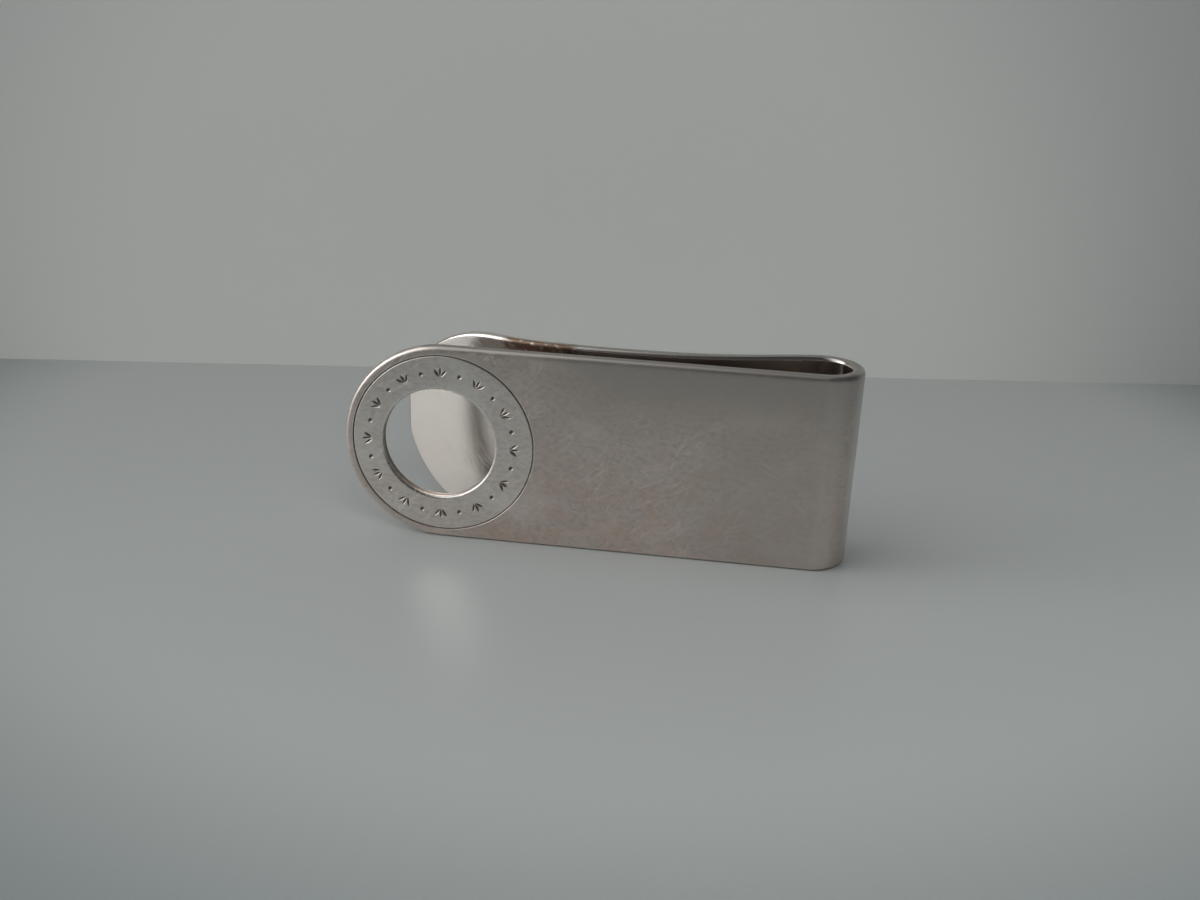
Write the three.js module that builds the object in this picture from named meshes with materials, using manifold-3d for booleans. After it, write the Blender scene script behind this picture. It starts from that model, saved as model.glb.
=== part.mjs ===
// Money clip: one bent strip of silver sheet with a ring let into its rounded end.
// Millimetres, +Z up. The clip stands on the long edge of its strip: X runs from the
// rounded end (-X) to the bend (+X), and the show face looks towards -Y.
import * as THREE from 'three';
import { mergeVertices } from 'three/addons/utils/BufferGeometryUtils.js';
import Module from 'manifold-3d';

// Strip
const LENGTH = 55.4;            // rounded end to the outside of the bend
const WIDTH = 22;               // width of the strip, which is the height of the standing clip
const SHEET = 1.4;              // thickness of the strip
const BEND_RADIUS = 4.25;       // outside of the bend
const OVERBEND = 0.17;          // the bend goes this far past a half turn, in radians
const FLEX_GAP = 0.5;           // room for the leaf's root to slide as the bend flexes

// Spring leaf, on the middle of its sheet: distance from the rounded end, depth behind the face
const PINCH = new THREE.Vector2(29.2, 4.44);
const LEAF_TIP = new THREE.Vector2(4.35, 11.9);
const TIP_SLOPE = 0.5;          // angle of the flared tip, in radians
const ROOT_PULL = 5;            // how far each end of a curve keeps its own direction
const PINCH_PULL_BACK = 13;
const PINCH_PULL_FRONT = 12;
const TIP_PULL = 11;

// Ring let into a stepped seat in the plate
const RING_RADIUS = 10;
const RING_THICKNESS = 0.6;
const HOLE_RADIUS = 6.2;
const HOLE_SHIFT = 0.45;        // the hole sits this much nearer the rounded end than the ring
const HOLE_CHAMFER = 0.3;
const JOINT_LINE = 0.06;        // half the width of the fine line round the ring

// Engraved border of the ring: sprigs of three leaves, with a dot between two sprigs
const SPRIGS = 12;
const LEAF_FAN = 0.62;          // angle between neighbouring leaves of a sprig, in radians
const LEAF_HALF_LENGTH = 0.56;
const LEAF_HALF_WIDTH = 0.17;
const LEAF_START = 0.1;         // gap between a sprig's root and the foot of each leaf
const SPRIG_ROOT = 0.55;        // distance of a sprig's root inside the middle of the border
const DOT_RADIUS = 0.24;
const ENGRAVING_DEPTH = 0.16;

const CLEAR = 1;                // how far a cutter reaches past the face it starts from

const CURVE_STEPS = 26;
const ROUND_STEPS = 96;

const MID_HEIGHT = WIDTH / 2;
const END_RADIUS = WIDTH / 2;
const BEND_START = LENGTH - BEND_RADIUS;
const BEND_MID_RADIUS = BEND_RADIUS - SHEET / 2;
const BEND_CENTRE = new THREE.Vector2(BEND_START, BEND_RADIUS);
const RING_CENTRE = new THREE.Vector2(END_RADIUS, MID_HEIGHT);
const HOLE_CENTRE = new THREE.Vector2(END_RADIUS - HOLE_SHIFT, MID_HEIGHT);

const wasm = await Module();
wasm.setup();

function toSolid(geometry) {
  const bare = geometry.clone();
  bare.deleteAttribute('normal');
  bare.deleteAttribute('uv');
  const merged = mergeVertices(bare, 1e-5);
  return new wasm.Manifold(new wasm.Mesh({
    numProp: 3,
    vertProperties: new Float32Array(merged.attributes.position.array),
    triVerts: new Uint32Array(merged.index.array),
  }));
}

function toGeometry(solid) {
  const mesh = solid.getMesh();
  const geometry = new THREE.BufferGeometry();
  geometry.setAttribute('position', new THREE.BufferAttribute(mesh.vertProperties, 3));
  geometry.setIndex(new THREE.BufferAttribute(mesh.triVerts, 1));
  geometry.computeVertexNormals();
  return geometry;
}

// A shape drawn in X (along) and Z (up), as thick as depth, its front face at Y = front.
function slab(shape, front, depth) {
  const geometry = new THREE.ExtrudeGeometry(shape, {
    depth, bevelEnabled: false, curveSegments: ROUND_STEPS / 2,
  });
  geometry.rotateX(Math.PI / 2);
  geometry.translate(0, front + depth, 0);
  return geometry;
}

// A shape drawn in X (along) and Y (depth), raised through the width of the strip.
function standing(shape) {
  return new THREE.ExtrudeGeometry(shape, {
    depth: WIDTH, bevelEnabled: false, curveSegments: CURVE_STEPS,
  });
}

// The strip's outline seen from the front: rounded at left, square at right.
function stripOutline(left, right) {
  const outline = new THREE.Shape();
  outline.moveTo(right, 0);
  outline.lineTo(right, WIDTH);
  outline.lineTo(left + END_RADIUS, WIDTH);
  outline.absarc(left + END_RADIUS, MID_HEIGHT, END_RADIUS, Math.PI / 2, 1.5 * Math.PI);
  outline.closePath();
  return outline;
}

// A turned cutter whose axis runs front to back. The profile pairs are [radius, depth].
function turned(profile, centre) {
  const points = profile.map(([radius, depth]) => new THREE.Vector2(radius, depth));
  const geometry = new THREE.LatheGeometry(points, ROUND_STEPS);
  geometry.translate(centre.x, 0, centre.y);
  return toSolid(geometry);
}

// The hole through ring and plate, chamfered at the front.
function holeCutter() {
  const flare = HOLE_RADIUS + HOLE_CHAMFER;
  return turned([
    [0, -CLEAR],
    [flare + CLEAR, -CLEAR],
    [flare, 0],
    [HOLE_RADIUS, HOLE_CHAMFER],
    [HOLE_RADIUS, SHEET + CLEAR],
    [0, SHEET + CLEAR],
  ], HOLE_CENTRE);
}

function frontPlate() {
  const blank = toSolid(slab(stripOutline(0, BEND_START), 0, SHEET));
  const seatRadius = RING_RADIUS + JOINT_LINE;
  const seat = turned([
    [0, -CLEAR],
    [seatRadius, -CLEAR],
    [seatRadius, RING_THICKNESS],
    [0, RING_THICKNESS],
  ], RING_CENTRE);
  return toGeometry(blank.subtract(seat).subtract(holeCutter()));
}

// One V-cut of the engraving, on the front face, pointing away from the middle of the border
// and then turned by lean. Outward and sideways place it, seen along the direction angle.
function cut(detail, outward, sideways, angle, lean, halfLength, halfWidth) {
  const geometry = new THREE.OctahedronGeometry(1, detail);
  geometry.scale(halfLength, ENGRAVING_DEPTH, halfWidth);
  geometry.rotateY(-lean);
  geometry.translate(outward, 0, sideways);
  geometry.rotateY(-angle);
  geometry.translate(RING_CENTRE.x - HOLE_SHIFT / 2, 0, RING_CENTRE.y);
  return toSolid(geometry);
}

function engraving() {
  const border = (RING_RADIUS + HOLE_RADIUS) / 2;
  const root = border - SPRIG_ROOT;
  const reach = LEAF_HALF_LENGTH + LEAF_START;
  const cuts = [];
  for (let index = 0; index < SPRIGS; index += 1) {
    const angle = (index / SPRIGS) * 2 * Math.PI;
    for (const side of [-1, 0, 1]) {
      const lean = side * LEAF_FAN;
      const outward = root + reach * Math.cos(lean);
      const sideways = reach * Math.sin(lean);
      cuts.push(cut(0, outward, sideways, angle, lean, LEAF_HALF_LENGTH, LEAF_HALF_WIDTH));
    }
    cuts.push(cut(1, border, 0, angle + Math.PI / SPRIGS, 0, DOT_RADIUS, DOT_RADIUS));
  }
  return cuts;
}

function ringInlay() {
  let ring = turned([
    [0, 0],
    [RING_RADIUS - JOINT_LINE, 0],
    [RING_RADIUS - JOINT_LINE, RING_THICKNESS],
    [0, RING_THICKNESS],
  ], RING_CENTRE).subtract(holeCutter());
  for (const tool of engraving()) {
    ring = ring.subtract(tool);
  }
  return toGeometry(ring);
}

function springBend() {
  const start = -Math.PI / 2;
  const end = Math.PI / 2 + OVERBEND;
  const section = new THREE.Shape();
  section.absarc(BEND_CENTRE.x, BEND_CENTRE.y, BEND_RADIUS, start, end, false);
  section.absarc(BEND_CENTRE.x, BEND_CENTRE.y, BEND_RADIUS - SHEET, end, start, true);
  section.closePath();
  return standing(section);
}

// The middle of the leaf's sheet, from the end of the bend to the flared tip.
function leafPath() {
  const along = new THREE.Vector2(-Math.cos(OVERBEND), -Math.sin(OVERBEND));
  const root = new THREE.Vector2(-Math.sin(OVERBEND), Math.cos(OVERBEND))
    .multiplyScalar(BEND_MID_RADIUS)
    .add(BEND_CENTRE)
    .addScaledVector(along, FLEX_GAP);
  const flare = new THREE.Vector2(Math.cos(TIP_SLOPE), -Math.sin(TIP_SLOPE));
  const back = new THREE.CubicBezierCurve(
    root,
    root.clone().addScaledVector(along, ROOT_PULL),
    new THREE.Vector2(PINCH.x + PINCH_PULL_BACK, PINCH.y),
    PINCH,
  );
  const front = new THREE.CubicBezierCurve(
    PINCH,
    new THREE.Vector2(PINCH.x - PINCH_PULL_FRONT, PINCH.y),
    LEAF_TIP.clone().addScaledVector(flare, TIP_PULL),
    LEAF_TIP,
  );
  const path = new THREE.CurvePath();
  path.add(back);
  path.add(front);
  return path;
}

function leafFace(path, side) {
  const points = [];
  for (let step = 0; step <= 2 * CURVE_STEPS; step += 1) {
    const at = step / (2 * CURVE_STEPS);
    const tangent = path.getTangentAt(at);
    const normal = new THREE.Vector2(tangent.y, -tangent.x);
    points.push(path.getPointAt(at).addScaledVector(normal, side * SHEET / 2));
  }
  return points;
}

function springLeaf(inner, outer) {
  const section = new THREE.Shape([...inner, ...outer.slice().reverse()]);
  const tip = inner[inner.length - 1].x;
  const outline = slab(stripOutline(tip, LENGTH), -SHEET, LENGTH);
  return toGeometry(toSolid(standing(section)).intersect(toSolid(outline)));
}

function silver(colour, roughness) {
  return new THREE.MeshStandardMaterial({ color: colour, roughness, metalness: 1 });
}

function named(name, geometry, material) {
  const mesh = new THREE.Mesh(geometry, material);
  mesh.name = name;
  return mesh;
}

const path = leafPath();
const innerFace = leafFace(path, -1);
const outerFace = leafFace(path, 1);
const DEPTH = Math.max(...outerFace.map((point) => point.y));

const clip = new THREE.Group();
clip.add(
  named('front_plate', frontPlate(), silver(0xb9b2ab, 0.38)),
  named('ring_inlay', ringInlay(), silver(0xb4aca4, 0.42)),
  named('spring_bend', springBend(), silver(0xbdb6ae, 0.33)),
  named('spring_leaf', springLeaf(innerFace, outerFace), silver(0xc4beb6, 0.3)),
);
clip.position.set(-LENGTH / 2, -DEPTH / 2, 0);

export default clip;
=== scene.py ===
import math

import bpy
import numpy as np
from mathutils import Matrix, Vector
from mathutils.geometry import delaunay_2d_cdt

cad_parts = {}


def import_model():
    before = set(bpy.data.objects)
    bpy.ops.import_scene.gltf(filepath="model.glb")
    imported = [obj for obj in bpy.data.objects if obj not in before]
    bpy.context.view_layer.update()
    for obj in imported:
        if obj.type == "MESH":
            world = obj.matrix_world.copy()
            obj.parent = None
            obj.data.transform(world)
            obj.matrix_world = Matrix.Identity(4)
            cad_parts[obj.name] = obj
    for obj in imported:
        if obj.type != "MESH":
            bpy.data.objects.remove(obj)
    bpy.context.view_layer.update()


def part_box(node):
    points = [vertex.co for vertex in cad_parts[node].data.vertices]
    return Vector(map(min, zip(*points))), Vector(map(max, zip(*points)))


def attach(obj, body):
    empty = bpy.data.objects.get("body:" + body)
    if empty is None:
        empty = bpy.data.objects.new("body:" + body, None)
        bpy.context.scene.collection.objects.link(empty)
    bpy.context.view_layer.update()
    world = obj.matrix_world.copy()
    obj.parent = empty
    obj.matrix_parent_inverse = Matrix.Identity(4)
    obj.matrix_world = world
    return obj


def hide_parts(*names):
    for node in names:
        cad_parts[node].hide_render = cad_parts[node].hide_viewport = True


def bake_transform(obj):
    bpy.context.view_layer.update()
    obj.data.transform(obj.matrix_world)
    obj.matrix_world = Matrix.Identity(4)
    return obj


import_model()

MM = 0.001

# Sizes read from the frame
PLATE_LOW, PLATE_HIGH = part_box("front_plate")
_, BEND_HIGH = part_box("spring_bend")
SHEET = (PLATE_HIGH.y - PLATE_LOW.y) / MM
WIDTH = (PLATE_HIGH.z - PLATE_LOW.z) / MM
LENGTH = (BEND_HIGH.x - PLATE_LOW.x) / MM
BEND_RADIUS = (BEND_HIGH.x - PLATE_HIGH.x) / MM
BEND_START = LENGTH - BEND_RADIUS
END_RADIUS = WIDTH / 2
MID = WIDTH / 2

# The spring leaf, as the CAD has it
OVERBEND = 0.17
FLEX_GAP = 0.5
PINCH = np.array([29.2, 4.44])
LEAF_TIP = np.array([4.35, 11.9])
TIP_SLOPE = 0.5
ROOT_PULL, PINCH_PULL_BACK, PINCH_PULL_FRONT, TIP_PULL = 5.0, 13.0, 12.0, 11.0

# The ring and its seat
RING_RADIUS = 10.0
RING_THICKNESS = 0.6
HOLE_RADIUS = 6.2
HOLE_SHIFT = 0.45
JOINT_LINE = 0.06
HOLE_ROUND = 0.3
RING_CENTRE = np.array([END_RADIUS, MID])
HOLE_CENTRE = np.array([END_RADIUS - HOLE_SHIFT, MID])

# The engraved border
SPRIGS = 12
LEAF_FAN = 0.62
LEAF_HALF_LENGTH = 0.56
LEAF_HALF_WIDTH = 0.17
LEAF_START = 0.1
SPRIG_ROOT = 0.55
DOT_RADIUS = 0.24
DOT_DEPTH = 0.8         # as a share of the engraving depth
ENGRAVING_DEPTH = 0.16

# Tarnish on the leaf's inner top edge: its middle along the strip, and how far it reaches
STAIN_RUN = 93.2
STAIN_REACH = 4.6

# Softened edges of the strip
OUTER_ROUND = 0.42
INNER_ROUND = 0.36
ROUND_STEPS = 7
ROLL_WIDTH = 0.75       # the faces fall away slightly over this width next to an edge
ROLL_STEPS = 5
OUTER_ROLL = 0.1
INNER_ROLL = 0.03
SEAT_LIP = 0.05
HOLE_BACK_ROUND = 0.38  # rounding of the hole where it meets the plate's back
LAYER_STEP = 0.04       # the seat's small step round the hole, under the ring
GUARD = 0.08            # a loop this far from a rim keeps its shading narrow

# How finely the strip's path is sampled
PLATE_SAMPLES, BEND_SAMPLES, LEAF_SAMPLES = 400, 240, 500

# How finely the meshes are divided: steps along the flattened strip, and points on rounds
FIRST_LINE = 1.0
PLATE_STEP = 0.9
BEND_STEP = 0.16
LEAF_STEP = 0.45
END_POINTS = 121
CROSS_LINES = 14
GRID_CLEARANCE = 0.45
TIP_SHARE = 0.85        # distances to the tip's rim are taken this short, to stay clear of it
HOLE_POINTS = 288
RING_POINTS = 1200
RING_ROWS = 62
CHAMFER_STEPS = 6
CHAMFER_GUARD = 0.1     # a loop this far below the ring's chamfer keeps its shading narrow
RING_LIFT = 0.01        # the ring stays this far off the floor of its seat
KEEP_INSIDE = 1         # delaunay_2d_cdt keeps the triangles that are inside the loops
MERGE_DISTANCE = 1e-5


def to_row(points):
    """Millimetres (along, depth, up) to metres in the row frame."""
    origin = np.array([PLATE_LOW.x, PLATE_LOW.y, PLATE_LOW.z])
    return np.asarray(points, float) * MM + origin


# ---------------------------------------------------------------- the strip's path in plan

def bezier(a, b, c, d, count):
    t = np.linspace(0, 1, count)[:, None]
    return (1 - t) ** 3 * a + 3 * (1 - t) ** 2 * t * b + 3 * (1 - t) * t * t * c + t ** 3 * d


def strip_path():
    """The middle of the sheet: flat plate, bend, leaf. Returns runs, points and headings."""
    middle = BEND_RADIUS - SHEET / 2
    centre = np.array([BEND_START, BEND_RADIUS])
    flat = np.linspace(0, BEND_START, PLATE_SAMPLES)
    plate = np.column_stack([flat, np.full(PLATE_SAMPLES, SHEET / 2)])
    turn = np.linspace(-math.pi / 2, math.pi / 2 + OVERBEND, BEND_SAMPLES)
    bend = centre + middle * np.column_stack([np.cos(turn), np.sin(turn)])
    along = -np.array([math.cos(OVERBEND), math.sin(OVERBEND)])
    root = bend[-1] + along * FLEX_GAP
    flare = np.array([math.cos(TIP_SLOPE), -math.sin(TIP_SLOPE)])
    back = bezier(root, root + along * ROOT_PULL,
                  PINCH + [PINCH_PULL_BACK, 0], PINCH, LEAF_SAMPLES)
    front = bezier(PINCH, PINCH - [PINCH_PULL_FRONT, 0],
                   LEAF_TIP + flare * TIP_PULL, LEAF_TIP, LEAF_SAMPLES)
    points = np.vstack([plate, bend[1:], back, front[1:]])
    steps = np.hypot(*np.diff(points, axis=0).T)
    runs = np.concatenate([[0], np.cumsum(steps)])
    heading = np.unwrap(np.arctan2(*np.gradient(points, axis=0).T[::-1]))
    return runs, points, heading


RUNS, PATH, HEADING = strip_path()
BEND_END_RUN = BEND_START + (BEND_RADIUS - SHEET / 2) * (math.pi + OVERBEND)
LEAF = RUNS > BEND_END_RUN + 2 * FLEX_GAP       # the samples that are on the leaf


def bent(flat):
    """(run, up, sunk) on the flattened strip to (along, depth, up) on the bent one."""
    run, up, sunk = np.asarray(flat, float).T
    heading = np.interp(run, RUNS, HEADING)
    lift = SHEET / 2 - sunk
    along = np.interp(run, RUNS, PATH[:, 0]) + lift * np.sin(heading)
    depth = np.interp(run, RUNS, PATH[:, 1]) - lift * np.cos(heading)
    return np.column_stack([along, depth, up])


def leaf_run(along):
    """The run of the place on the leaf that is this far along."""
    return np.interp(-np.asarray(along, float), -PATH[LEAF, 0], RUNS[LEAF])


TIP_ALONG = bent([[RUNS[-1], MID, SHEET]])[0, 0]
TIP_START_RUN = float(leaf_run(TIP_ALONG + END_RADIUS))


# ---------------------------------------------------------------- the strip's mesh

def stations():
    """Runs of the cross lines between the two rounded ends, close together in the bend."""
    plate = np.arange(END_RADIUS, BEND_START, PLATE_STEP)
    bend = np.arange(BEND_START, BEND_END_RUN, BEND_STEP)
    leaf = np.arange(BEND_END_RUN, TIP_START_RUN, LEAF_STEP)
    return np.concatenate([plate, bend, leaf])


def strip_outline():
    """The flattened strip's outline, anticlockwise, and its inward normals."""
    turn = np.linspace(math.pi / 2, 1.5 * math.pi, END_POINTS)
    outward = np.column_stack([np.cos(turn), np.sin(turn)])
    ring_end = np.array([END_RADIUS, MID]) + END_RADIUS * outward
    line = stations()[1:]
    low = np.column_stack([line, np.zeros_like(line)])
    low_in = np.tile([0.0, 1.0], (len(line), 1))
    swing = np.linspace(-math.pi / 2, math.pi / 2, END_POINTS)
    along = TIP_ALONG + END_RADIUS - END_RADIUS * np.cos(swing)
    run = leaf_run(along)
    lean = np.abs(np.cos(np.interp(run, RUNS, HEADING)))
    tip = np.column_stack([run, MID + END_RADIUS * np.sin(swing)])
    tip_in = np.column_stack([-np.cos(swing), -np.sin(swing) / lean])
    tip_in /= np.linalg.norm(tip_in, axis=1)[:, None]
    high = np.column_stack([line[::-1], np.full(len(line), WIDTH)])
    outline = np.vstack([ring_end, low, tip, high])
    inward = np.vstack([-outward, low_in, tip_in, -low_in])
    return outline, inward


def circle(centre, radius, count):
    turn = np.linspace(0, 2 * math.pi, count, endpoint=False)
    return centre + radius * np.column_stack([np.cos(turn), np.sin(turn)])


def rim_distance(run, up):
    """How far a point on the flattened strip is from the strip's outline, about."""
    along = np.interp(run, RUNS, PATH[:, 0]) - TIP_ALONG
    tip = TIP_SHARE * (END_RADIUS - np.hypot(along - END_RADIUS, up - MID))
    ring_end = END_RADIUS - np.hypot(run - END_RADIUS, up - MID)
    side = END_RADIUS - np.abs(up - MID)
    return np.where(run < END_RADIUS, ring_end, np.where(run > TIP_START_RUN, tip, side))


def face_grid(edge, hole_centre, hole_radius):
    """Points spread over a face of the flattened strip, clear of its edges and its hole."""
    ring_end = np.arange(FIRST_LINE, END_RADIUS, PLATE_STEP)
    tip = np.arange(TIP_START_RUN, RUNS[-1], LEAF_STEP)
    runs = np.concatenate([ring_end, stations(), tip])
    ups = np.linspace(0, WIDTH, CROSS_LINES)[1:-1]
    run, up = [g.ravel() for g in np.meshgrid(runs, ups)]
    inside = rim_distance(run, up) > edge + GRID_CLEARANCE
    outside = np.hypot(run - hole_centre[0], up - hole_centre[1]) > hole_radius + GRID_CLEARANCE
    return np.column_stack([run, up])[inside & outside]


def fill(outer, inner, grid):
    """Triangles between an outer loop and a round hole, numbered over outer, inner and grid."""
    points = np.vstack([outer, inner, grid])
    n, m = len(outer), len(inner)
    loops = [(i, (i + 1) % n) for i in range(n)]
    loops += [(n + i, n + (i + 1) % m) for i in range(m)]
    _, _, faces, kept, _, _ = delaunay_2d_cdt(
        [Vector(p) for p in points], loops, [], KEEP_INSIDE, MERGE_DISTANCE)
    back = [k[0] for k in kept]
    triangles = [[back[i] for i in face] for face in faces]
    return [t for t in triangles if not all(n <= i < n + m for i in t)]


class Builder:
    """Gathers rings of points and faces into one closed mesh."""

    def __init__(self):
        self.flat, self.faces, self.worn = [], [], []
        self.count = 0

    def points(self, flat, worn=0.0):
        start = self.count
        self.flat.append(np.asarray(flat, float))
        self.worn.append(np.full(len(flat), worn))
        self.count += len(flat)
        return np.arange(start, self.count)

    def join(self, a, b):
        """Quads between two closed loops of the same length."""
        n = len(a)
        self.faces += [(a[i], a[(i + 1) % n], b[(i + 1) % n], b[i]) for i in range(n)]

    def cover(self, outer, inner, grid, triangles, flip):
        index = np.concatenate([outer, inner, grid])
        for corners in triangles:
            face = tuple(index[c] for c in corners)
            self.faces.append(face[::-1] if flip else face)

    def mesh(self, name, place):
        flat = np.vstack(self.flat)
        mesh = bpy.data.meshes.new(name)
        mesh.from_pydata(to_row(place(flat)).tolist(), [], [tuple(map(int, f)) for f in self.faces])
        sheet = mesh.attributes.new("sheet", "FLOAT_VECTOR", "POINT")
        sheet.data.foreach_set("vector", flat.astype(np.float32).ravel())
        worn = mesh.attributes.new("worn", "FLOAT", "POINT")
        worn.data.foreach_set("value", np.concatenate(self.worn).astype(np.float32))
        mesh.validate()
        mesh.update()
        mesh.shade_smooth()
        return mesh


def sunk(points, depth):
    return np.column_stack([points, np.full(len(points), depth)])


def edge_profile(radius, roll):
    """Inset from the outline, fall below the face and wear, from the edge's side inwards."""
    profile = []
    for step in range(ROUND_STEPS + 1):
        turn = step / ROUND_STEPS * math.pi / 2
        inset = radius * (1 - math.cos(turn))
        fall = radius * (1 - math.sin(turn)) + roll * (1 - inset / ROLL_WIDTH) ** 2
        worn = 0.1 + 0.3 * math.sin(2 * turn)
        profile.append((inset, fall, worn))
    for step in range(1, ROLL_STEPS + 1):
        inset = radius + (ROLL_WIDTH - radius) * step / ROLL_STEPS
        profile.append((inset, roll * (1 - inset / ROLL_WIDTH) ** 2, 0.0))
    return profile


def strip_mesh():
    build = Builder()
    outline, inward = strip_outline()
    rings = []
    for inset, fall, worn in reversed(edge_profile(OUTER_ROUND, OUTER_ROLL)):
        rings.append(build.points(sunk(outline + inward * inset, fall), worn))
    for inset, fall, worn in edge_profile(INNER_ROUND, INNER_ROLL):
        rings.append(build.points(sunk(outline + inward * inset, SHEET - fall), worn))
    for before, after in zip(rings[:-1], rings[1:]):
        build.join(after, before)

    # the seat, the hole and their rounds: centre, radius, depth, wear
    seat = RING_RADIUS + JOINT_LINE
    loops = [
        (RING_CENTRE, seat + SEAT_LIP + GUARD, 0, 0),
        (RING_CENTRE, seat + SEAT_LIP, 0, 0.7),
        (RING_CENTRE, seat + SEAT_LIP * 0.3, SEAT_LIP * 0.3, 1),
        (RING_CENTRE, seat, SEAT_LIP, 0.3),
        (RING_CENTRE, seat, RING_THICKNESS, 0),
        (HOLE_CENTRE, HOLE_RADIUS + LAYER_STEP, RING_THICKNESS, 0),
        (HOLE_CENTRE, HOLE_RADIUS, RING_THICKNESS + LAYER_STEP, 0.6),
        (HOLE_CENTRE, HOLE_RADIUS, RING_THICKNESS + LAYER_STEP + GUARD, 0),
    ]
    for step in range(ROUND_STEPS + 1):
        turn = step / ROUND_STEPS * math.pi / 2
        radius = HOLE_RADIUS + HOLE_BACK_ROUND * (1 - math.cos(turn))
        depth = SHEET - HOLE_BACK_ROUND * (1 - math.sin(turn))
        loops.append((HOLE_CENTRE, radius, depth, 0.7))
    loops.append((HOLE_CENTRE, HOLE_RADIUS + HOLE_BACK_ROUND + GUARD, SHEET, 0))
    rims = [build.points(sunk(circle(centre, radius, HOLE_POINTS), depth), worn)
            for centre, radius, depth, worn in loops]
    for before, after in zip(rims[:-1], rims[1:]):
        build.join(before, after)

    for ring, rim, (centre, radius, depth, _), flip in (
        (rings[0], rims[0], loops[0], False),
        (rings[-1], rims[-1], loops[-1], True),
    ):
        grid = face_grid(ROLL_WIDTH, centre, radius)
        outer = outline + inward * ROLL_WIDTH
        triangles = fill(outer, circle(centre, radius, HOLE_POINTS), grid)
        build.cover(ring, rim, build.points(sunk(grid, depth)), triangles, flip)
    return build.mesh("money_clip_strip", bent)


# ---------------------------------------------------------------- the ring's mesh

def leaf_cut(u, v):
    """Depth share of one engraved leaf: a V-cut with curved sides, u along it and v across."""
    body = np.clip(1 - (u / LEAF_HALF_LENGTH) ** 2, 0, 1)
    side = np.abs(v) / np.maximum(LEAF_HALF_WIDTH * body, 1e-6)
    return np.clip(1 - side, 0, 1) * np.sqrt(body)


def engraving(points):
    """Depth share of the engraved border at points on the ring's face."""
    border = (RING_RADIUS + HOLE_RADIUS) / 2
    offset = points - (RING_CENTRE + HOLE_CENTRE) / 2
    radius = np.hypot(*offset.T)
    turn = np.arctan2(offset[:, 1], offset[:, 0])
    pitch = 2 * math.pi / SPRIGS
    local = (turn + pitch / 2) % pitch - pitch / 2
    outward = radius * np.cos(local) - (border - SPRIG_ROOT)
    sideways = radius * np.sin(local)
    depth = np.zeros(len(points))
    for side in (-1, 0, 1):
        lean = side * LEAF_FAN
        u = outward * math.cos(lean) + sideways * math.sin(lean) - LEAF_HALF_LENGTH - LEAF_START
        v = sideways * math.cos(lean) - outward * math.sin(lean)
        depth = np.maximum(depth, leaf_cut(u, v))
    between = (turn % pitch) - pitch / 2
    reach = np.hypot(radius * np.cos(between) - border, radius * np.sin(between))
    dot = np.sqrt(np.clip(1 - (reach / DOT_RADIUS) ** 2, 0, 1))
    return np.maximum(depth, dot * DOT_DEPTH)


def ring_mesh():
    build = Builder()

    def rim(centre, radius, depth, worn=0.0):
        return build.points(sunk(circle(centre, radius, RING_POINTS), depth), worn)

    seat_side = RING_RADIUS - JOINT_LINE
    outer = circle(RING_CENTRE, seat_side - SEAT_LIP, RING_POINTS)
    inner = circle(HOLE_CENTRE, HOLE_RADIUS + HOLE_ROUND, RING_POINTS)
    loops = [
        rim(HOLE_CENTRE, HOLE_RADIUS, RING_THICKNESS - RING_LIFT),
        rim(HOLE_CENTRE, HOLE_RADIUS, HOLE_ROUND + CHAMFER_GUARD, 0.1),
    ]
    for step in range(CHAMFER_STEPS):
        turn = step / CHAMFER_STEPS * math.pi / 2
        radius = HOLE_RADIUS + HOLE_ROUND * (1 - math.cos(turn))
        loops.append(rim(HOLE_CENTRE, radius, HOLE_ROUND * (1 - math.sin(turn)), 1.0))
    for row in range(RING_ROWS + 1):
        face = inner + (outer - inner) * row / RING_ROWS
        depth = engraving(face) * ENGRAVING_DEPTH
        worn = 0.5 if row in (0, RING_ROWS) else 0.0
        loops.append(build.points(np.column_stack([face, depth]), worn))
    loops.append(rim(RING_CENTRE, seat_side, SEAT_LIP, 0.8))
    loops.append(rim(RING_CENTRE, seat_side, RING_THICKNESS - RING_LIFT))
    loops.append(loops[0])
    for before, after in zip(loops[:-1], loops[1:]):
        build.join(after, before)
    return build.mesh("ring", lambda flat: flat[:, [0, 2, 1]])


def make(mesh, name, material):
    obj = bpy.data.objects.new(name, mesh)
    bpy.context.scene.collection.objects.link(obj)
    mesh.materials.append(material)
    return obj


# ---------------------------------------------------------------- materials

# Tones, as the colour that the silver or its dirt reflects, and painted shade, light and
# reflections
STRIP_SILVER, STRIP_WARM = (0.73, 0.64, 0.59, 1), (0.73, 0.56, 0.465, 1)
RING_SILVER, RING_WARM = (0.87, 0.79, 0.74, 1), (0.86, 0.74, 0.66, 1)
WORN_EDGE = (0.88, 0.85, 0.82, 1)
# painted shade for the plate's face inside the fold, painted light for the leaf's
INSIDE_PLATE_SHADE, INSIDE_LEAF_LIGHT = (0.38, 0.35, 0.33, 1), (0.88, 0.82, 0.77, 1)
DARKER_SILVER = (0.55, 0.49, 0.455, 1)
# painted shade for the top edge
TOP_EDGE_SHADE = (0.36, 0.33, 0.31, 1)
# painted reflections in two bands across the outside of the bend
BEND_FOOT_REFLECTION, BEND_TURN_REFLECTION = (0.80, 0.72, 0.68, 1), (0.76, 0.77, 0.77, 1)
# painted shade for the wall of the hole
HOLE_WALL_SHADE = (0.26, 0.23, 0.21, 1)
# patina and painted shade for the engraved cuts
ENGRAVING_PATINA_AND_SHADE = (0.16, 0.13, 0.10, 1)
BROWN_TARNISH = (0.20, 0.12, 0.08, 1)

SATIN = 0.36            # roughness of the silver before wear and dirt
STRIP_WARM_SHARE, RING_WARM_SHARE = 0.85, 0.4
DULLER, PALER = 0.8, 1.22       # mottles and pale patches, as shares of the tone
GRAIN_HEIGHT = 0.00003

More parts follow.
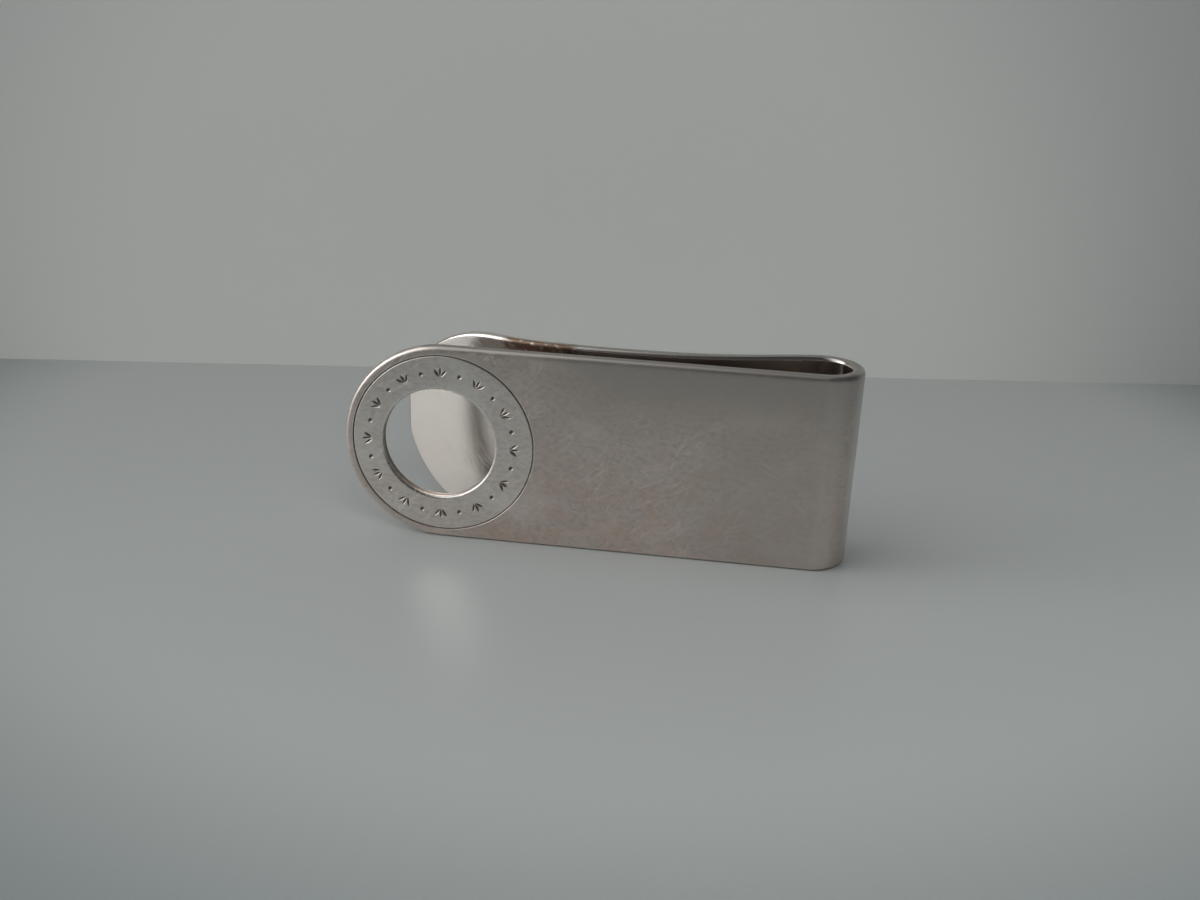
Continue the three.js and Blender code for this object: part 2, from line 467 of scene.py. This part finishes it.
# Layers of hairline scratches: turn, seed, length, fineness, width of a line, share of the face
HAIRLINES = (
    (-0.85, 3.1, 5.5, 1.3, 0.020, 0.50),
    (-0.5, 8.3, 7.0, 1.0, 0.016, 0.46),
    (0.6, 15.7, 6.0, 1.2, 0.014, 0.42),
    (-1.3, 23.9, 5.0, 1.5, 0.018, 0.44),
)


class Nodes:
    """Short names for building a material's node tree."""

    def __init__(self, name):
        self.material = bpy.data.materials.new(name)
        self.material.use_nodes = True
        self.tree = self.material.node_tree
        self.tree.nodes.clear()
        self.output = self.tree.nodes.new("ShaderNodeOutputMaterial")

    def add(self, kind, **values):
        node = self.tree.nodes.new("ShaderNode" + kind)
        for key, value in values.items():
            setattr(node, key, value)
        return node

    def link(self, source, target):
        self.tree.links.new(source, target)

    def put(self, socket, value):
        if isinstance(value, bpy.types.NodeSocket):
            self.link(value, socket)
        else:
            socket.default_value = value

    def math(self, operation, a, b=0.0, clamp=False):
        node = self.add("Math", operation=operation, use_clamp=clamp)
        self.put(node.inputs[0], a)
        self.put(node.inputs[1], b)
        return node.outputs[0]

    def span(self, value, low, high, to_low=0.0, to_high=1.0):
        node = self.add("MapRange", interpolation_type="SMOOTHSTEP")
        self.put(node.inputs["Value"], value)
        node.inputs["From Min"].default_value = low
        node.inputs["From Max"].default_value = high
        node.inputs["To Min"].default_value = to_low
        node.inputs["To Max"].default_value = to_high
        return node.outputs["Result"]

    def noise(self, vector, scale, detail=2.0, roughness=0.5, distortion=0.0):
        node = self.add("TexNoise")
        self.link(vector, node.inputs["Vector"])
        node.inputs["Scale"].default_value = scale
        node.inputs["Detail"].default_value = detail
        node.inputs["Roughness"].default_value = roughness
        node.inputs["Distortion"].default_value = distortion
        return node.outputs["Fac"]

    def mapped(self, vector, turn=0.0, scale=(1, 1, 1), move=(0, 0, 0)):
        node = self.add("Mapping")
        self.link(vector, node.inputs["Vector"])
        node.inputs["Location"].default_value = move
        node.inputs["Rotation"].default_value = (0, 0, turn)
        node.inputs["Scale"].default_value = scale
        return node.outputs["Vector"]

    def mix(self, share, a, b):
        node = self.add("Mix", data_type="RGBA")
        self.put(node.inputs["Factor"], share)
        self.put(node.inputs[6], a)
        self.put(node.inputs[7], b)
        return node.outputs[2]

    def times(self, a, b):
        return self.math("MULTIPLY", a, b)

    def away(self, value, place):
        """How far a value is from a place."""
        return self.math("ABSOLUTE", self.math("SUBTRACT", value, place))

    def plus(self, value, mask, share):
        """A value with a share of a mask added to it."""
        return self.math("ADD", value, self.times(mask, share))

    def tint(self, colour, mask, share, tone):
        """A colour taken towards a tone by a share of a mask."""
        return self.mix(self.times(mask, share), colour, tone)

    def attribute(self, name):
        return self.add("Attribute", attribute_name=name)

    def parts(self, vector):
        node = self.add("SeparateXYZ")
        self.link(vector, node.inputs[0])
        return node.outputs

    def sheet(self):
        """The place on the flattened strip in millimetres, and how worn it is."""
        return self.attribute("sheet").outputs["Vector"], self.attribute("worn").outputs["Fac"]


def scratches(n, sheet, turn, seed, length, fine, width, amount):
    """Hairline scratches: thin level lines of a stretched noise, broken up by a second noise."""
    turned = n.mapped(sheet, turn)
    stretched = n.mapped(turned, 0.0, (1 / length, fine, fine), (seed, seed * 0.7, 0))
    level = n.noise(stretched, 1.0, 1.0, 0.4, 0.3)
    line = n.span(n.away(level, 0.5), 0.0, width, 1.0, 0.0)
    broad = n.mapped(turned, 0.0, (1.2 / length, 0.3, 0.3), (seed * 1.3, 0, seed))
    where = n.noise(broad, 1.0, 2.0)
    return n.times(line, n.span(where, 1 - amount, 1.05 - amount))


def silver(n, sheet, worn, tone, warm, warm_share):
    """Satin sterling silver in use: hairlines, smudges, warm tarnish, polished worn edges."""
    up = n.parts(sheet)["Y"]
    smudge = n.noise(n.mapped(sheet, 0.4, (0.16, 0.22, 0.2)), 1.0, 5.0, 0.6)
    cloud = n.noise(n.mapped(sheet, 0.5, (0.25, 0.4, 0.4), (3, 7, 0)), 1.0, 5.0, 0.65)
    mottle = n.noise(n.mapped(sheet, 0.7, (1.3, 2.2, 2)), 1.0, 3.0, 0.6)
    grain = n.noise(n.mapped(sheet, 0.6, (7, 9, 9)), 1.0, 3.0, 0.7)
    patches = n.noise(n.mapped(sheet, 0.9, (0.12, 0.2, 0.2), (11, 4, 0)), 1.0, 4.0, 0.6)
    hair = None
    for layer in HAIRLINES:
        line = scratches(n, sheet, *layer)
        hair = line if hair is None else n.math("MAXIMUM", hair, line)

    lower = n.span(up, 16.0, 2.0, 0.3, 1.0)
    warm_mask = n.times(n.span(cloud, 0.36, 0.66), lower)
    colour = n.mix(n.math("MULTIPLY", warm_mask, warm_share, True), tone, warm)
    dull = tuple(c * DULLER for c in tone[:3]) + (1,)
    pale = tuple(min(1.0, c * PALER) for c in tone[:3]) + (1,)
    colour = n.tint(colour, n.span(mottle, 0.42, 0.66), 0.7, dull)
    colour = n.tint(colour, n.span(patches, 0.48, 0.68), 0.45, pale)
    colour = n.tint(colour, hair, 0.75, pale)
    colour = n.tint(colour, worn, 0.5, WORN_EDGE)

    rough = n.plus(SATIN, n.math("SUBTRACT", smudge, 0.5), 0.22)
    rough = n.plus(rough, hair, 0.12)
    rough = n.plus(rough, worn, -0.1)

    bump = n.add("Bump")
    bump.inputs["Strength"].default_value = 0.5
    bump.inputs["Distance"].default_value = GRAIN_HEIGHT
    n.link(n.plus(n.times(grain, 0.8), hair, -0.3), bump.inputs["Height"])
    return colour, rough, bump


def shaded_hole_wall(n, wall, colour, rough):
    """Painted shade on the wall of the hole, which is also made rougher."""
    return n.tint(colour, wall, 0.75, HOLE_WALL_SHADE), n.plus(rough, wall, 0.15)


def finish_silver(n, colour, rough, bump):
    shader = n.add("BsdfPrincipled")
    shader.inputs["Metallic"].default_value = 1.0
    n.put(shader.inputs["Base Color"], colour)
    n.put(shader.inputs["Roughness"], rough)
    n.link(bump.outputs["Normal"], shader.inputs["Normal"])
    n.link(shader.outputs[0], n.output.inputs["Surface"])
    return n.material


def strip_material():
    n = Nodes("satin_silver_strip")
    sheet, worn = n.sheet()
    colour, rough, bump = silver(n, sheet, worn, STRIP_SILVER, STRIP_WARM, STRIP_WARM_SHARE)

    # the face inside the fold: painted shade, dim on the plate, and painted light, bright on the
    # leaf
    run, up, depth = n.parts(sheet)
    inside = n.span(depth, SHEET * 0.5, SHEET * 0.85)
    on_leaf = n.span(run, BEND_START, BEND_START + 6)
    colour = n.tint(colour, inside, 0.8, n.mix(on_leaf, INSIDE_PLATE_SHADE, INSIDE_LEAF_LIGHT))
    rough = n.plus(rough, n.times(inside, on_leaf), -0.27)

    # darker towards the top and the bend
    dull = n.times(n.span(up, 11.0, WIDTH - 1), n.span(run, 18.0, 30.0))
    dull = n.math("MAXIMUM", dull, n.times(n.span(run, 34.0, 46.0), 0.6))
    dull = n.times(dull, n.span(run, 60.0, BEND_START))
    colour = n.tint(colour, dull, 0.85, DARKER_SILVER)

    # painted shade on the top edge, and painted reflections in bands across the bend
    top = n.span(up, WIDTH - 0.4, WIDTH - 0.1)
    # painted shade along the top edge, fading out towards the leaf's tip
    rim = n.times(top, n.span(run, STAIN_RUN, STAIN_RUN - 4))
    colour = n.tint(colour, rim, 0.75, TOP_EDGE_SHADE)
    outside = n.span(depth, SHEET * 0.5, SHEET * 0.2)
    # a painted reflection in a band across the foot of the bend
    foot_reflection = n.span(n.away(run, BEND_START + 1.2), 1.5, 0.4)
    colour = n.tint(colour, n.times(foot_reflection, outside), 0.35, BEND_FOOT_REFLECTION)
    # a painted reflection in a band across the middle of the turn
    turn = n.span(n.away(run, BEND_START + 5.2), 2.2, 1.0)
    colour = n.tint(colour, n.times(turn, outside), 0.5, BEND_TURN_REFLECTION)

    across = n.math("SUBTRACT", run, float(HOLE_CENTRE[0]))
    above = n.math("SUBTRACT", up, MID)
    squares = n.math("ADD", n.times(across, across), n.times(above, above))
    # painted shade on the wall of the hole through the plate
    wall = n.span(n.math("SQRT", squares), HOLE_RADIUS + 0.2, HOLE_RADIUS + 0.05)
    colour, rough = shaded_hole_wall(n, wall, colour, rough)

    # brown tarnish left on the inner edge of the leaf's top
    near_top = n.span(up, WIDTH - 1.9, WIDTH - 0.7)
    place = n.span(n.away(run, STAIN_RUN), STAIN_REACH, STAIN_REACH * 0.75)
    broken = n.noise(n.mapped(sheet, 0.0, (1.1, 1.6, 1.6), (5, 2, 9)), 1.0, 3.0)
    patch = n.times(n.times(place, near_top), n.span(broken, 0.22, 0.5))
    patch = n.times(patch, n.span(depth, SHEET * 0.5, SHEET * 0.8))
    colour = n.tint(colour, patch, 0.95, BROWN_TARNISH)
    rough = n.plus(rough, patch, 0.25)
    return finish_silver(n, colour, rough, bump)


def ring_material():
    n = Nodes("satin_silver_ring")
    sheet, worn = n.sheet()
    colour, rough, bump = silver(n, sheet, worn, RING_SILVER, RING_WARM, RING_WARM_SHARE)

    depth = n.parts(sheet)["Z"]
    # painted shade on the wall of the ring's hole
    wall = n.span(depth, HOLE_ROUND - 0.05, HOLE_ROUND + 0.1)
    colour, rough = shaded_hole_wall(n, wall, colour, rough)

    # dark cuts, patina with painted shade in the grooves, where the face is below its own level and
    # the edge is not worn
    engraved = n.math("SUBTRACT", n.span(depth, 0.012, 0.10), n.span(worn, 0.02, 0.05), True)
    engraved = n.times(engraved, n.span(depth, 0.3, 0.25))
    colour = n.tint(colour, engraved, 0.9, ENGRAVING_PATINA_AND_SHADE)
    rough = n.plus(rough, engraved, 0.15)
    return finish_silver(n, colour, rough, bump)


# ---------------------------------------------------------------- the stage

DAYLIGHT_FROM = (-0.88, 0.1, 0.46)
DAYLIGHT = 1.7
DIM_ROOM = 0.07

FLOOR_REACH = 1.5
# painted light on the floor: paler near the clip, dimmer further out
FLOOR_PAINTED_LIT, FLOOR_PAINTED_DIM = (0.49, 0.505, 0.50, 1), (0.24, 0.27, 0.27, 1)
BOARD_LEFT, BOARD_RIGHT, BOARD_HEIGHT = (-0.5, -0.0368), (0.5, 0.157), 0.16
# painted light on the board: paler near the clip, dimmer further out
BOARD_PAINTED_LIT, BOARD_PAINTED_DIM = (0.87, 0.87, 0.84, 1), (0.56, 0.57, 0.56, 1)

CAMERA_PLACE = (0.01607, -0.13202, 0.06083)
CAMERA_YAW, CAMERA_PITCH, CAMERA_ROLL = 0.1227, 0.3681, 0.0429
CAMERA_LENS = 38.16


def plane(name, corners, material):
    mesh = bpy.data.meshes.new(name)
    mesh.from_pydata(corners, [], [tuple(range(len(corners)))])
    mesh.materials.append(material)
    obj = bpy.data.objects.new(name, mesh)
    bpy.context.scene.collection.objects.link(obj)
    return obj


def painted_light_pool(n, centre, near, far, pale, dim):
    """A painted pool of light: a tone that falls off with the distance from a place."""
    away = n.add("VectorMath", operation="DISTANCE")
    n.link(n.add("NewGeometry").outputs["Position"], away.inputs[0])
    away.inputs[1].default_value = centre
    return n.mix(n.span(away.outputs["Value"], near, far), pale, dim)


def floor_material():
    n = Nodes("pale_table")
    shader = n.add("BsdfPrincipled")
    # a painted pool of light on the table
    tone = painted_light_pool(n, (0, 0.03, 0), 0.075, 0.115, FLOOR_PAINTED_LIT, FLOOR_PAINTED_DIM)
    n.link(tone, shader.inputs["Base Color"])
    shader.inputs["Roughness"].default_value = 0.32
    shader.inputs["Specular IOR Level"].default_value = 0.25
    n.link(shader.outputs[0], n.output.inputs["Surface"])
    return n.material


def board_material():
    """Pale board with a painted pool of light, seen from its front only, so that it never hides the
    clip from behind.
    """
    n = Nodes("pale_board")
    shader = n.add("BsdfDiffuse")
    # a painted pool of light on the board
    tone = painted_light_pool(n, (-0.02, 0.05, 0), 0.06, 0.13, BOARD_PAINTED_LIT, BOARD_PAINTED_DIM)
    n.link(tone, shader.inputs["Color"])
    clear = n.add("BsdfTransparent")
    side = n.add("NewGeometry")
    chosen = n.add("MixShader")
    n.link(side.outputs["Backfacing"], chosen.inputs[0])
    n.link(shader.outputs[0], chosen.inputs[1])
    n.link(clear.outputs[0], chosen.inputs[2])
    n.link(chosen.outputs[0], n.output.inputs["Surface"])
    return n.material


def area_light(name, place, aim, size, power, colour):
    data = bpy.data.lights.new(name, "AREA")
    data.shape = "RECTANGLE"
    data.size, data.size_y = size
    data.energy = power
    data.color = colour
    obj = bpy.data.objects.new(name, data)
    obj.location = place
    obj.rotation_mode = "QUATERNION"
    obj.rotation_quaternion = (Vector(aim) - Vector(place)).to_track_quat("-Z", "Y")
    bpy.context.scene.collection.objects.link(obj)
    return obj


def world():
    """Soft daylight from the upper left and behind, and a dim room in front."""
    made = bpy.data.worlds.new("soft_room")
    made.use_nodes = True
    tree = made.node_tree
    tree.nodes.clear()
    output = tree.nodes.new("ShaderNodeOutputWorld")
    background = tree.nodes.new("ShaderNodeBackground")
    coordinate = tree.nodes.new("ShaderNodeTexCoord")
    facing = tree.nodes.new("ShaderNodeVectorMath")
    facing.operation = "DOT_PRODUCT"
    facing.inputs[1].default_value = DAYLIGHT_FROM
    ramp = tree.nodes.new("ShaderNodeMapRange")
    ramp.interpolation_type = "SMOOTHSTEP"
    ramp.inputs["From Min"].default_value = 0.25
    ramp.inputs["From Max"].default_value = 1.0
    ramp.inputs["To Min"].default_value = DIM_ROOM
    ramp.inputs["To Max"].default_value = DAYLIGHT
    background.inputs["Color"].default_value = (0.97, 1.0, 1.0, 1)
    tree.links.new(coordinate.outputs["Generated"], facing.inputs[0])
    tree.links.new(facing.outputs["Value"], ramp.inputs["Value"])
    tree.links.new(ramp.outputs["Result"], background.inputs["Strength"])
    tree.links.new(background.outputs[0], output.inputs[0])
    bpy.context.scene.world = made


def camera():
    """A little to the right of the plate, looking down at it."""
    yaw, pitch, roll = CAMERA_YAW, CAMERA_PITCH, CAMERA_ROLL
    right = Vector((math.cos(yaw), math.sin(yaw), 0))
    level = Vector((-math.sin(yaw), math.cos(yaw), 0))
    ahead = level * math.cos(pitch) - Vector((0, 0, math.sin(pitch)))
    up = right.cross(ahead)
    tilted_right = math.cos(roll) * right + math.sin(roll) * up
    tilted_up = math.cos(roll) * up - math.sin(roll) * right
    data = bpy.data.cameras.new("photo_view")
    data.sensor_width = 36
    data.lens = CAMERA_LENS
    data.clip_start = 0.005
    obj = bpy.data.objects.new("photo_view", data)
    turn = Matrix((tilted_right, tilted_up, -ahead)).transposed()
    obj.matrix_world = Matrix.Translation(CAMERA_PLACE) @ turn.to_4x4()
    bpy.context.scene.collection.objects.link(obj)
    bpy.context.scene.camera = obj


def stage():
    far = FLOOR_REACH
    corners = [(-far, -far, 0), (far, -far, 0), (far, far, 0), (-far, far, 0)]
    plane("floor", corners, floor_material())
    left, right, height = BOARD_LEFT, BOARD_RIGHT, BOARD_HEIGHT
    corners = [(*right, 0), (*right, height), (*left, height), (*left, 0)]
    plane("board", corners, board_material())
    area_light("window", (-0.50, -0.12, 0.22), (0, 0, 0.01), (0.30, 0.30), 0.44, (1.0, 0.99, 0.97))
    board_lamp = area_light("board_light", (0.08, -0.25, 0.30), (0.02, 0.06, 0), (0.2, 0.2),
                            0.28, (0.98, 1.0, 1.0))
    board_lamp.visible_glossy = False
    world()
    bpy.context.scene.view_settings.view_transform = "Standard"


camera()
stage()

strip = make(strip_mesh(), "money_clip_strip", strip_material())
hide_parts("front_plate", "spring_bend", "spring_leaf")
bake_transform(strip)

ring = make(ring_mesh(), "engraved_ring", ring_material())
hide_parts("ring_inlay")
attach(ring, "plate")
